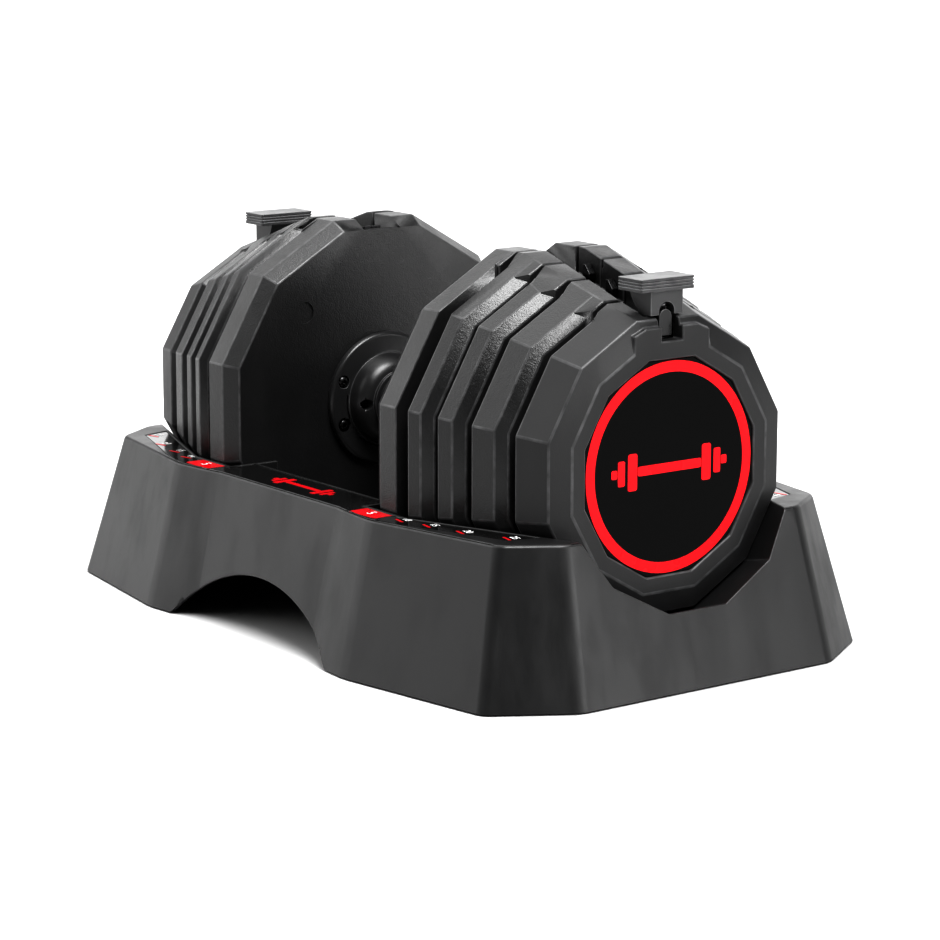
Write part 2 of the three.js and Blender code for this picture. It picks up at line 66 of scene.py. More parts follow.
BELL_RADIUS, TAPER_X, TAPER = 111, 104.8, 0.328
CHAMFER, INNER_CHAMFER = 5.5, 4.2
PLATES = {  # rim in, rim out, boss in, boss out, boss half width
    "plate_2": (105, 113, 99.5, 119, 39.5),
    "plate_3": (123.8, 132.8, 121, 138.8, 37.5),
    "plate_4": (144.8, 158.8, 141, 166.5, 35),
}
CHANNEL_HALF, CHANNEL_DEPTH, CHANNEL_END = 13, 16, 187
OUTER_IN, OUTER_OUT, OUTER_FACE = 171.5, 191.5, 195.5
BADGE_RADIUS, BADGE_FACE, BADGE_THICK = 60, 194.3, 1.2
DIMPLE_CIRCLE, DIMPLE_RADIUS = 79, 6.5
SHAFT_BORE, GRIP_HALF = 8.3, 50.5
SCREW_CIRCLE, SCREW_ANGLES = 33.6, [side * 22.5 + turn for side in (-1, 1) for turn in (0, 180)]


def bell_radius(x):
    return BELL_RADIUS - TAPER * max(0, x - TAPER_X)


def top_line(x):
    """Height of the bell's flat top, carried on straight past the taper's start."""
    return AXIS + math.cos(math.radians(15)) * (BELL_RADIUS - TAPER * (x - TAPER_X))


# ------------------------------------------------------------------ shaping
def across(x, turn=0.0, y=0.0, z=AXIS):
    """Where a circle goes that stands across the handle's direction."""
    upright = Matrix.Rotation(math.radians(90), 4, "Y")
    return Matrix.Translation((x, y, z)) @ upright @ Matrix.Rotation(math.radians(turn), 4, "Z")


def circle_edges(verts):
    """A circle's edges, each once and in the same order every time."""
    return list(dict.fromkeys(e for v in verts for e in v.link_edges))


def through_rings(places, sides, radii):
    """A closed solid through circles, each with its own place and radius."""
    bm = bmesh.new()
    loops = []
    for i, (place, radius) in enumerate(zip(places, radii)):
        made = bmesh.ops.create_circle(
            bm, cap_ends=i in (0, len(places) - 1), segments=sides, radius=radius, matrix=place)
        loops.append(circle_edges(made["verts"]))
    for a, b in zip(loops, loops[1:]):
        bmesh.ops.bridge_loops(bm, edges=a + b)
    bmesh.ops.recalc_face_normals(bm, faces=bm.faces)
    return bm


def bar(stations, sides=12, turn=15.0, y=0.0, z=AXIS):
    """A solid along X through (x, radius) stations."""
    return through_rings([across(x, turn, y, z) for x, _ in stations], sides, [r for _, r in stations])


def rounds(x0, x1, radius, y=0.0, z=AXIS, sides=32, turn=0.0):
    return bar([(x0, radius), (x1, radius)], sides, turn, y, z)


def prism(points, push):
    """A flat outline pushed along a direction into a closed block."""
    bm = bmesh.new()
    face = bm.faces.new([bm.verts.new(p) for p in points])
    made = bmesh.ops.extrude_face_region(bm, geom=[face], use_keep_orig=True)
    moved = [g for g in made["geom"] if isinstance(g, bmesh.types.BMVert)]
    bmesh.ops.translate(bm, verts=moved, vec=push)
    bmesh.ops.recalc_face_normals(bm, faces=bm.faces)
    return bm


def block(x, y, z):
    middle = Matrix.Translation([(a + b) / 2 for a, b in (x, y, z)])
    size = Matrix.Diagonal([b - a for a, b in (x, y, z)] + [1])
    bm = bmesh.new()
    bmesh.ops.create_cube(bm, size=1, matrix=middle @ size)
    return bm


def lathe(profile, steps=64, z=AXIS, y=0.0):
    """A closed (x, radius) outline turned round the handle's direction."""
    bm = bmesh.new()
    verts = [bm.verts.new((x, y, z + r)) for x, r in profile]
    edges = [bm.edges.new((a, b)) for a, b in zip(verts, verts[1:] + verts[:1])]
    bmesh.ops.spin(bm, geom=verts + edges, cent=(0, y, z), axis=(1, 0, 0), angle=2 * math.pi,
                   steps=steps, use_merge=True)
    bmesh.ops.remove_doubles(bm, verts=bm.verts, dist=0.001)
    bmesh.ops.recalc_face_normals(bm, faces=bm.faces)
    return bm


def tidy_faces(bm, dist=0.004, flat=0.03):
    bmesh.ops.remove_doubles(bm, verts=bm.verts, dist=dist)
    bmesh.ops.dissolve_limit(bm, angle_limit=math.radians(flat), verts=bm.verts, edges=bm.edges)
    return bm


def combined(bm, tool, how):
    """Adds, takes away or keeps the shared part of two closed solids."""
    pair = []
    for source in (bm, tool):
        mesh = bpy.data.meshes.new("working")
        source.to_mesh(mesh)
        obj = bpy.data.objects.new("working", mesh)
        bpy.context.scene.collection.objects.link(obj)
        pair.append(obj)
    mod = pair[0].modifiers.new("combine", "BOOLEAN")
    mod.object, mod.operation, mod.solver = pair[1], how, "EXACT"
    result = bmesh.new()
    result.from_object(pair[0], bpy.context.evaluated_depsgraph_get())
    for obj in pair:
        mesh = obj.data
        bpy.data.objects.remove(obj)
        bpy.data.meshes.remove(mesh)
    bm.free()
    return tidy_faces(result)


def cut(bm, *tools):
    for tool in tools:
        bm = combined(bm, tool, "DIFFERENCE")
    return bm


def join(bm, *others):
    for other in others:
        bm = combined(bm, other, "UNION")
    return bm


def keep(bm, tool):
    return combined(bm, tool, "INTERSECT")


def climb(edge):
    """How far an edge rises from one end to the other."""
    return abs(edge.verts[0].co.z - edge.verts[1].co.z)


def bevelled(bm, edges, width, segments):
    made = bmesh.ops.bevel(bm, geom=edges, offset=width, offset_type="OFFSET", segments=segments,
                           profile=0.5, affect="EDGES", clamp_overlap=False, material=-1)
    return made["faces"]


def round_edges(bm, width, segments=2, above=20.0, wanted=None):
    """Rounds every edge that turns by more than the angle; the ones without room for it stay crisp."""
    layer = bm.faces.layers.float.get("edge_highlight_mask") or bm.faces.layers.float.new("edge_highlight_mask")

    def turns(e):
        return len(e.link_faces) == 2 and e.calc_face_angle(0) > math.radians(above)

    def roomy(e):
        return all(o.calc_length() > width * 1.2 for v in e.verts for o in v.link_edges if turns(o))

    picked = [e for e in bm.edges if turns(e) and roomy(e) and (wanted is None or wanted(e))]
    for e in set(bm.edges) - set(picked):
        if turns(e):
            e.smooth = False
    # The rounded faces are marked, and the finishes paint a highlight on them.
    for face in bevelled(bm, picked, width, segments):
        face[layer] = 1.0
    return bm


def from_node(node, width=0.5, segments=2):
    """A CAD node's shape with its edges rounded."""
    bm = bmesh.new()
    bm.from_mesh(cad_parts[node].data)
    bmesh.ops.scale(bm, vec=(1000, 1000, 1000), verts=bm.verts)
    tidy_faces(bm, 0.01, 0.5)
    return round_edges(bm, width, segments)


def at_right(bm, side):
    """Turns a left node's shape to the right bell, where every piece is made."""
    if side == "left":
        bmesh.ops.rotate(bm, verts=bm.verts, matrix=Matrix.Rotation(math.pi, 3, "Z"))
    return bm


def place(name, bm, look, body, instead_of=(), slot=None, side=None, extra=(), flat=False):
    """Turns a finished shape into a piece that moves with a body."""
    turn = Matrix.Rotation(math.pi, 4, "Z") if side == "left" else Matrix.Identity(4)
    bmesh.ops.recalc_face_normals(bm, faces=bm.faces)
    hollowed = [f for f in bm.faces if len(f.verts) > 4 and not all(c.is_convex for c in f.loops)]
    bmesh.ops.triangulate(bm, faces=hollowed, quad_method="BEAUTY", ngon_method="BEAUTY")
    bmesh.ops.transform(bm, matrix=turn @ Matrix.Scale(0.001, 4), verts=bm.verts)
    # Every piece carries the painted-highlight mask, which is empty where nothing was rounded.
    if not bm.faces.layers.float.get("edge_highlight_mask"):
        bm.faces.layers.float.new("edge_highlight_mask")
    for face in bm.faces:
        face.smooth = not flat
    mesh = bpy.data.meshes.new(name)
    bm.to_mesh(mesh)
    bm.free()
    obj = bpy.data.objects.new(name, mesh)
    bpy.context.scene.collection.objects.link(obj)
    for material in (look, *extra):
        mesh.materials.append(material)
    if not flat:
        normals = obj.modifiers.new("even shading", "WEIGHTED_NORMAL")
        normals.weight = 60
        normals.keep_sharp = True
    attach(obj, body)
    if instead_of:
        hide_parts(*instead_of)
    return obj


# ------------------------------------------------------------------ finishes
class Finish:
    """Builds one node material on the object's own coordinates."""

    def __init__(self, name, rough, metal=0.0, specular=0.5, coat=0.0, coat_rough=0.1):
        self.material = bpy.data.materials.new(name)
        self.material.use_nodes = True
        self.nodes = self.material.node_tree.nodes
        self.links = self.material.node_tree.links
        self.shader = self.nodes["Principled BSDF"]
        self.shader.inputs["Roughness"].default_value = rough
        self.shader.inputs["Metallic"].default_value = metal
        self.shader.inputs["Specular IOR Level"].default_value = specular
        self.shader.inputs["Coat Weight"].default_value = coat
        self.shader.inputs["Coat Roughness"].default_value = coat_rough
        self.coords = self.nodes.new("ShaderNodeTexCoord").outputs["Object"]

    def stretched(self, scale):
        node = self.nodes.new("ShaderNodeMapping")
        node.inputs["Scale"].default_value = scale
        self.links.new(self.coords, node.inputs["Vector"])
        return node.outputs["Vector"]

    def noise(self, scale, detail=3.0, rough=0.55, vector=None):
        node = self.nodes.new("ShaderNodeTexNoise")
        node.inputs["Scale"].default_value = scale
        node.inputs["Detail"].default_value = detail
        node.inputs["Roughness"].default_value = rough
        self.links.new(vector or self.coords, node.inputs["Vector"])
        return node.outputs["Fac"]

    def spread(self, value, low, high, to_low=0.0, to_high=1.0):
        node = self.nodes.new("ShaderNodeMapRange")
        for socket, number in zip(("From Min", "From Max", "To Min", "To Max"), (low, high, to_low, to_high)):
            node.inputs[socket].default_value = number
        self.links.new(value, node.inputs["Value"])
        return node.outputs["Result"]

    def maths(self, how, a, b=None):
        node = self.nodes.new("ShaderNodeMath")
        node.operation = how
        for socket, value in zip(node.inputs, (a, b)):
            if isinstance(value, (int, float)):
                socket.default_value = value
            elif value is not None:
                self.links.new(value, socket)
        return node.outputs["Value"]

    def mixed(self, factor, first, second):
        node = self.nodes.new("ShaderNodeMix")
        node.data_type = "RGBA"
        self.links.new(factor, node.inputs["Factor"])
        for socket, value in ((node.inputs["A"], first), (node.inputs["B"], second)):
            if isinstance(value, tuple):
                socket.default_value = (*value, 1)
            else:
                self.links.new(value, socket)
        return node.outputs["Result"]

    def edge_highlight_mask(self):
        node = self.nodes.new("ShaderNodeAttribute")
        node.attribute_name = "edge_highlight_mask"
        return node.outputs["Fac"]

    def colour(self, value):
        self.links.new(value, self.shader.inputs["Base Color"])

    def roughness(self, value):
        self.links.new(value, self.shader.inputs["Roughness"])

    def bump(self, layers):
        """Stacks (height, strength, depth in metres) layers of relief."""
        last = None
        for height, strength, depth in layers:
            node = self.nodes.new("ShaderNodeBump")
            node.inputs["Strength"].default_value = strength
            node.inputs["Distance"].default_value = depth
            self.links.new(height, node.inputs["Height"])
            if last:
                self.links.new(last, node.inputs["Normal"])
            last = node.outputs["Normal"]
        self.links.new(last, self.shader.inputs["Normal"])


def grey(value):
    return (value, value, value * 1.02)


def moulded(name, base, rough, grain, depth, edge=0.0, scuff=0.15, specular=0.5, dust=0.25):
    """Satin moulding or coating: fine grain, cloudy sheen, faint scuffs and a painted highlight along the
    rounded edges.
    """
    f = Finish(name, rough, specular=specular)
    cloud = f.noise(9.0, 4.0)
    fine = f.noise(grain, 3.0, 0.6)
    tone = f.mixed(f.spread(cloud, 0.35, 0.65), grey(base * 0.86), grey(base * 1.12))
    speck = f.spread(fine, 0.62, 0.78)
    tone = f.mixed(f.maths("MULTIPLY", speck, dust), tone, grey(min(base * 3.2, 0.6)))
    # Painted highlight: the rounded edges are lightened, in patches set by noise.
    edge_highlight = f.maths("MULTIPLY", f.edge_highlight_mask(), f.spread(f.noise(140.0, 4.0), 0.35, 0.7, 0.25, 1.0))
    tone = f.mixed(f.maths("MULTIPLY", edge_highlight, edge), tone, grey(min(base * 9.0, 0.5)))
    f.colour(tone)
    streak = f.noise(26.0, 4.0, 0.6, f.stretched((1.5, 1.5, 0.5)))
    scuffed = f.spread(streak, 0.45, 0.7, 0.0, scuff)
    f.roughness(f.maths("ADD", f.spread(cloud, 0.3, 0.7, rough - 0.05, rough + 0.05), scuffed))
    f.bump([(fine, 0.55, depth), (f.noise(grain * 0.28, 2.0), 0.25, depth * 1.6)])
    return f.material


def glossy(name, base, rough, coat=0.6, ripple=0.00004, specular=0.5):
    f = Finish(name, rough, specular=specular, coat=coat, coat_rough=0.03)
    cloud = f.noise(14.0, 3.0)
    deep, pale = tuple(c * 0.85 for c in base), tuple(min(1, c * 1.12) for c in base)
    f.colour(f.mixed(f.spread(cloud, 0.3, 0.7), deep, pale))
    wipe = f.noise(30.0, 5.0, 0.65, f.stretched((1, 1, 4)))
    f.roughness(f.spread(wipe, 0.4, 0.75, rough * 0.8, rough * 1.7))
    f.bump([(f.noise(95.0, 1.0), 0.25, ripple)])
    return f.material


def brushed(name, base, rough, metal=1.0):
    f = Finish(name, rough, metal=metal)
    lines = f.noise(500.0, 3.0, 0.6, f.stretched((0.08, 1, 1)))
    cloud = f.noise(25.0, 3.0)
    f.colour(f.mixed(f.spread(cloud, 0.3, 0.7), grey(base * 0.8), grey(base * 1.1)))
    f.roughness(f.spread(lines, 0.3, 0.7, rough * 0.75, rough * 1.3))
    f.bump([(lines, 0.2, 0.00003)])
    return f.material


def knurled(name, base, rough, pitch=0.0024, depth=0.0004, around=48):
    """A rubber sleeve with a diamond pattern moulded round it."""
    f = Finish(name, rough, specular=0.4)
    split = f.nodes.new("ShaderNodeSeparateXYZ")
    f.links.new(f.coords, split.inputs["Vector"])
    height = f.maths("SUBTRACT", split.outputs["Z"], AXIS / 1000)
    angle = f.maths("ARCTAN2", height, split.outputs["Y"])
    round_way = f.maths("MULTIPLY", angle, around * pitch / (2 * math.pi) * 2)
    rising = f.maths("ADD", split.outputs["X"], round_way)
    falling = f.maths("SUBTRACT", split.outputs["X"], round_way)
    ups = f.maths("SINE", f.maths("MULTIPLY", rising, math.pi / pitch))
    downs = f.maths("SINE", f.maths("MULTIPLY", falling, math.pi / pitch))
    diamonds = f.spread(f.maths("MULTIPLY", ups, downs), -0.2, 0.7)
    inside = f.spread(f.maths("ABSOLUTE", split.outputs["X"]), 0.0425, 0.0435, 1.0, 0.0)
    diamonds = f.maths("MULTIPLY", diamonds, inside)
    # Painted shade and highlight: the pattern's grooves are darker and its raised diamonds lighter, following
    # the relief.
    f.colour(f.mixed(diamonds, grey(base * 0.6), grey(base * 1.35)))
    f.roughness(f.spread(f.noise(60.0, 3.0), 0.3, 0.7, rough - 0.07, rough + 0.07))
    f.bump([(diamonds, 0.9, depth), (f.noise(1800.0, 2.0), 0.3, 0.00004)])
    return f.material


def printed(name, colour, rough=0.3):
    f = Finish(name, rough, specular=0.15)
    fine = f.noise(1400.0, 2.0)
    f.colour(f.mixed(f.spread(fine, 0.3, 0.7), tuple(c * 0.9 for c in colour), colour))
    f.roughness(f.spread(f.noise(40.0, 3.0), 0.3, 0.7, rough * 0.8, rough * 1.3))
    f.bump([(fine, 0.15, 0.00002)])
    return f.material


TRAY = moulded("tray_plastic", 0.010, 0.36, 1700.0, 0.00005, edge=0.35, scuff=0.12, dust=0.10)
PLATE = moulded("plate_coating", 0.012, 0.34, 1100.0, 0.00032, edge=0.55, scuff=0.10, specular=0.6, dust=0.45)
OUTER = moulded(
    "outer_coating", 0.017, 0.36, 1500.0, 0.00009, edge=0.40, scuff=0.10, specular=0.42, dust=0.15)
DARK = moulded("dark_plastic", 0.018, 0.30, 1500.0, 0.00005, edge=0.50, scuff=0.12, dust=0.08)
RUBBER = moulded("foot_rubber", 0.018, 0.75, 900.0, 0.00015, edge=0.1, scuff=0.1, dust=0.2)
BOLT = brushed("black_steel", 0.05, 0.30)
TAB = moulded("tab_plastic", 0.045, 0.34, 1500.0, 0.00005, edge=0.40, scuff=0.12, dust=0.10)
STEEL = brushed("steel", 0.55, 0.3)
LABEL = glossy("label_gloss", (0.006, 0.006, 0.006), 0.14, coat=0.1, specular=0.4)
GLASSY = glossy("badge_gloss", (0.0012, 0.0012, 0.0012), 0.09, coat=0.0, specular=0.12)
GRIP = knurled("grip_rubber", 0.028, 0.62)
RED = printed("red_print", (0.83, 0.008, 0.016))
DECK_RED = printed("deck_red_print", (0.42, 0.004, 0.010))
WHITE = printed("white_print", (0.78, 0.78, 0.78), 0.4)


# ------------------------------------------------------------------ the tray
def mirrored_outline(quarter):
    back = quarter[::-1]
    left = [(-x, y) for x, y in back] + [(-x, -y) for x, y in quarter]
    return [*quarter, *left, *[(x, -y) for x, y in back]]


def moved_inwards(flat, inset):
    """Shifts every side of an anticlockwise outline inwards by the same distance."""
    moved = []
    for i, here in enumerate(flat):
        before = (here - flat[i - 1]).normalized()
        after = (flat[(i + 1) % len(flat)] - here).normalized()
        inward = Vector((-before.y - after.y, before.x + after.x)).normalized()
        moved.append(here + inward * inset / (inward.x * -before.y + inward.y * before.x))
    return moved


def outline_at(z, inset=0.0):
    """The tray's plan outline at a height, moved inwards."""
    t = z / DECK
    low, high = mirrored_outline(TRAY_BOTTOM), mirrored_outline(TRAY_TOP)
    flat = [Vector((a[0] + (b[0] - a[0]) * t, a[1] + (b[1] - a[1]) * t)) for a, b in zip(low, high)]
    return [Vector((p.x, p.y, z)) for p in moved_inwards(flat, inset)]


def through_outlines(outlines):
    bm = bmesh.new()
    loops = []
    for points in outlines:
        verts = [bm.verts.new(p) for p in points]
        loops.append([bm.edges.new((a, b)) for a, b in zip(verts, verts[1:] + verts[:1])])
    for a, b in zip(loops, loops[1:]):
        bmesh.ops.bridge_loops(bm, edges=a + b)
    for loop in (loops[0], loops[-1]):
        bmesh.ops.contextual_create(bm, geom=loop)
    bmesh.ops.recalc_face_normals(bm, faces=bm.faces)
    return bm


def hand_space(grow, bottom, top):
    half_x, floor = HAND_HALF + grow, HAND_FLOOR + grow
    slope = (HAND_TOP - HAND_FLOOR) / (DECK - HAND_FLOOR_Z)
    outlines = []
    for z in (bottom, top):
        y = floor + slope * (z - HAND_FLOOR_Z)
        outlines.append([(half_x, y, z), (-half_x, y, z), (-half_x, -y, z), (half_x, -y, z)])
    return through_outlines(outlines)


def wells(grow, start, end):
    right = bar([(x, bell_radius(x) + grow) for x in (start, TAPER_X, end)])
    left = bar([(-x, bell_radius(x) + grow) for x in (end, TAPER_X, start)])
    return right, left


def side_arch(y0, y1):
    """The arched opening in a long side, with its feet swept outwards."""
    radius = (ARCH_HALF ** 2 + ARCH_HEIGHT ** 2) / (2 * ARCH_HEIGHT)
    middle = ARCH_HEIGHT - radius
    disc = bmesh.new()
    stand = Matrix.Rotation(math.radians(90), 4, "X")
    bmesh.ops.create_cone(disc, cap_ends=True, segments=160, radius1=radius, radius2=radius,
                          depth=y1 - y0, matrix=Matrix.Translation((0, (y0 + y1) / 2, middle)) @ stand)
    reach = math.sqrt((radius + ARCH_FILLET) ** 2 - (ARCH_FILLET - middle) ** 2)
    touch = math.atan2(ARCH_FILLET - middle, reach)
    inner = reach - ARCH_FILLET * math.cos(touch)
    top = ARCH_FILLET - ARCH_FILLET * math.sin(touch)
    shape = keep(disc, block((-200, 200), (y0 - 1, y1 + 1), (-20, 200)))
    for side in (-1, 1):
        foot = prism([(side * (inner - 4), y0, -20), (side * reach, y0, -20), (side * reach, y0, 0),
                      (side * inner, y0, top), (side * (inner - 4), y0, top)], (0, y1 - y0, 0))
        curve = bmesh.new()
        bmesh.ops.create_cone(curve, cap_ends=True, segments=64, radius1=ARCH_FILLET, radius2=ARCH_FILLET,
                              depth=y1 - y0 + 4,
                              matrix=Matrix.Translation((side * reach, (y0 + y1) / 2, ARCH_FILLET)) @ stand)
        shape = join(shape, cut(foot, curve))
    return shape


def deck_label(sy, grow=0.0):
    """A thin printed sheet that fills the deck between the wells and the rim."""
    flat = moved_inwards([Vector(p) for p in mirrored_outline(LABEL_EDGE)], -grow)
    levels = (LABEL_TOP - 0.7 - grow, LABEL_TOP if not grow else DECK + 2)
    sheet = through_outlines([[Vector((p.x, p.y, z)) for p in flat] for z in levels])
    sheet = keep(sheet, block((-220, 220), (20, 200) if sy > 0 else (-200, -20), (70, 100)))
    margin = LABEL_MARGIN - grow
    sheet = cut(sheet, hand_space(margin, 40, 90), *wells(WELL_GAP + margin, WELL_START - margin, 235))
    return sheet if grow else round_edges(sheet, 0.2, 2, above=30)


def lowest(edge):
    return min(v.co.z for v in edge.verts)


def tray():
    levels = 8  # the long walls twist slightly, so they are built up in narrow bands
    shell = through_outlines([outline_at(SKIRT + (DECK - SKIRT) * i / levels) for i in range(levels + 1)])
    steep = [e for e in shell.edges if climb(e) > 5 and abs(e.verts[0].co.x) > ARCH_END]
    bevelled(shell, steep, TRAY_CORNER, 4)
    rim = [e for e in shell.edges if lowest(e) > DECK - 0.1 and e.calc_face_angle(0) > 0.12]
    bevelled(shell, rim, TRAY_RIM, 3)
    whole = shell.copy()
    arches = [side_arch(-200, -ARCH_INNER), side_arch(ARCH_INNER, 200)]
    hollow = through_outlines([outline_at(-1, TRAY_WALL), outline_at(DECK - TRAY_WALL, TRAY_WALL)])
    shell = cut(shell, hollow, *arches)
    skins = hand_space(TRAY_WALL, HAND_FLOOR_Z - TRAY_WALL, 100)
    skins = join(skins, *wells(WELL_GAP + WELL_WALL, WELL_START - TRAY_WALL, 240))
    shell = join(shell, keep(skins, whole))
    shell = cut(shell, hand_space(0, HAND_FLOOR_Z, 100),
                block((-WELL_START - 1, WELL_START + 1), (-78, 78), (HAND_FLOOR_Z, 100)),
                *wells(WELL_GAP, WELL_START, 245))
    for x in (s * r for r in RIBS for s in (1, -1)):
        radius, half = bell_radius(abs(x)), RIB_THICK / 2
        band = rounds(x - half, x + half, radius + WELL_GAP + WELL_WALL / 2, sides=12, turn=15)
        ridge = cut(band, rounds(x - RIB_THICK, x + RIB_THICK, radius - RIB_REACH, sides=12, turn=15))
        shell = join(shell, keep(ridge, block((-240, 240), (-200, 200), (SKIRT, RIB_TOP))))
    for sx in (-1, 1):
        for sy in (-1, 1):
            x, y = sx * FOOT_X, sy * FOOT_Y
            shell = join(shell, block((x - 8, x + 8), (y - 7, y + 7), (FOOT_HEIGHT + GAP, DECK - 2.5)))
    shell = cut(shell, deck_label(-1, GAP), deck_label(1, GAP))
    return round_edges(shell, 0.7, 2, above=24, wanted=lambda e: lowest(e) > SKIRT + 1)


place("tray_shell", tray(), TRAY, "cradle", ["cradle_shell"], "cradle_plastic")


def foot_pad(x, y):
    bm = bmesh.new()
    bmesh.ops.create_cone(bm, cap_ends=True, segments=48, radius1=FOOT_RADIUS - 0.8, radius2=FOOT_RADIUS,
                          depth=FOOT_HEIGHT, matrix=Matrix.Translation((x, y, FOOT_HEIGHT / 2)))
    return round_edges(bm, 0.6, 3, above=40)


for row, sy in (("front", -1), ("back", 1)):
    for end, sx in (("left", -1), ("right", 1)):
        pad = foot_pad(sx * FOOT_X, sy * FOOT_Y)
        place(f"foot_pad_{row}_{end}", pad, RUBBER, "cradle", [f"foot_{row}_{end}"], "foot_rubber")


# ------------------------------------------------------------------ labels on the deck
def patch(centre, size, angle, corner, thick=0.12):
    """A rounded rectangle of print, lying on the label."""
    turn = Matrix.Translation((*centre, LABEL_TOP + thick / 2)) @ Matrix.Rotation(angle, 4, "Z")
    bm = bmesh.new()
    bmesh.ops.create_cube(bm, size=1, matrix=turn @ Matrix.Diagonal((*size, thick, 1)))
    if corner:
        bevelled(bm, [e for e in bm.edges if climb(e) > thick / 2], corner, 5)
    return bm


def numeral(text, height, matrix, thick=0.1):
    """A plain number as a thin solid."""
    curve = bpy.data.curves.new("numeral", "FONT")
    curve.body, curve.size, curve.extrude = text, height, thick / 2
    curve.align_x, curve.align_y, curve.resolution_u = "CENTER", "CENTER", 4
    holder = bpy.data.objects.new("numeral", curve)
    bpy.context.scene.collection.objects.link(holder)
    mesh = bpy.data.meshes.new_from_object(holder)
    bm = bmesh.new()
    bm.from_mesh(mesh)
    bpy.data.objects.remove(holder)
    bpy.data.meshes.remove(mesh)
    bpy.data.curves.remove(curve)
    bmesh.ops.remove_doubles(bm, verts=bm.verts, dist=1e-5)
    bmesh.ops.transform(bm, matrix=matrix, verts=bm.verts)
    return bm


def merged(parts):
    """Several loose shapes in one mesh; a part may carry a material number."""
    whole = bmesh.new()
    for part in parts:
        bm, look = part if isinstance(part, tuple) else (part, 0)
        for face in bm.faces:
            face.material_index = look
        mesh = bpy.data.meshes.new("working")
        bm.to_mesh(mesh)
        bm.free()
        whole.from_mesh(mesh)
        bpy.data.meshes.remove(mesh)
    return whole


def dumbbell_sign(width, thick, stand):
    """A plain picture of a dumbbell: a bar between two pairs of plates."""
    unit = width / 2
    strokes = [((0, 0), (unit * 1.1, unit * 0.13))]
    for side in (-1, 1):
        for out, w, h in ((0.64, 0.16, 0.50), (0.83, 0.12, 0.34), (0.95, 0.10, 0.12)):
            strokes.append(((side * unit * out, 0), (unit * w, unit * h)))
    parts = []
    for (x, y), (w, h) in strokes:
        bm = bmesh.new()
        spot = Matrix.Translation((x, y, 0)) @ Matrix.Diagonal((w, h, thick, 1))
        bmesh.ops.create_cube(bm, size=1, matrix=spot)
        bevelled(bm, [e for e in bm.edges if climb(e) > thick / 2], min(w, h) * 0.22, 4)
        bmesh.ops.transform(bm, matrix=stand, verts=bm.verts)
        parts.append(bm)
    return parts


def deck_print(sy):
    """Weight marks beside each plate and a dumbbell sign in the middle strip."""
    facing = 0 if sy < 0 else math.pi
    upright = Matrix.Rotation(facing, 4, "Z")
    first_x, first_y = 84, 116.3
    parts = []
    for sx in (-1, 1):
        lean = math.radians(-11.5) * sx * sy
        x, y = sx * first_x, sy * first_y
        parts.append((patch((x, y), (24, 14.5), math.radians(-2.5) * sx * sy, 2.6), 0))
        parts.append((numeral("5", 8.5, Matrix.Translation((x, y, LABEL_TOP + 0.2)) @ upright), 1))
        leaning = Matrix.Rotation(facing - lean, 4, "Z")
        for out, number in ((109, "10"), (128.3, "15"), (151.8, "20"), (178, "25")):
            x, y = sx * out, sy * (113.0 - (out - 97) * 0.203 - max(0, out - 160) * 0.30)
            parts.append((numeral(number, 6.2, Matrix.Translation((x, y, LABEL_TOP + 0.1)) @ leaning), 1))
            under = Matrix.Translation((x, y, 0)) @ leaning @ Vector((0, -4.6, 0))
            parts.append((patch((under.x, under.y), (8.5, 1.6), facing - lean, 0.5), 0))
    stand = Matrix.Translation((3, sy * 106.5, LABEL_TOP + 0.08)) @ upright
    parts += [(bm, 0) for bm in dumbbell_sign(58, 0.12, stand)]
    return merged(parts)


for where, sy in (("front", -1), ("back", 1)):
    place(f"label_{where}", deck_label(sy), LABEL, "cradle", [f"deck_label_{where}"], "label_gloss")
    place(f"label_print_{where}", deck_print(sy), DECK_RED, "cradle", slot="label_gloss", extra=(WHITE,),
          flat=True)


# ------------------------------------------------------------------ plates
def bell_cone(x0, x1, grow=0.0):
    return bar([(x, bell_radius(x) + grow) for x in sorted({x0, min(max(TAPER_X, x0), x1), x1})])


def boss(back, rim_in, rim_out, front, half, sweep=9.5, slant=6.0):
    """The thick top of a plate: wider than the rim on both sides, with slanted ends."""
    wide, start, deep = half + 2.5, rim_out + 1.0, rim_in - back
    side = [(rim_in + 0.6, half + 2.2), (rim_in - deep * 0.22, half - 1.6),
            (rim_in - deep * 0.78, half - sweep * 0.66), (back, half - sweep - 1.0)]
    outline = [*side, *[(x, -y) for x, y in side[::-1]],
               (start, -wide), (front, slant - wide), (front, wide - slant), (start, wide)]
    bm = prism([(x, y, AXIS + 60) for x, y in outline], (0, 0, 60))
    return keep(bm, bell_cone(back, front))


def channel(start, end):
    top = AXIS + 130
    low = [(x, top_line(x) - CHANNEL_DEPTH) for x in (start, end)]
    outline = [*low, (end, top), (start, top)]
    return prism([(x, -CHANNEL_HALF, z) for x, z in outline], (0, 2 * CHANNEL_HALF, 0))


def weight_plate(rim_in, rim_out, back, front, half):
    disc = bar([(rim_in - INNER_CHAMFER, bell_radius(rim_in) - INNER_CHAMFER), (rim_in, bell_radius(rim_in)),
                (rim_out, bell_radius(rim_out)), (rim_out + CHAMFER, bell_radius(rim_out) - CHAMFER)])
    body = join(disc, boss(back, rim_in, rim_out, front, half))
    return round_edges(cut(body, channel(rim_in - 20, rim_out + 20)), 0.8, 3, above=24)


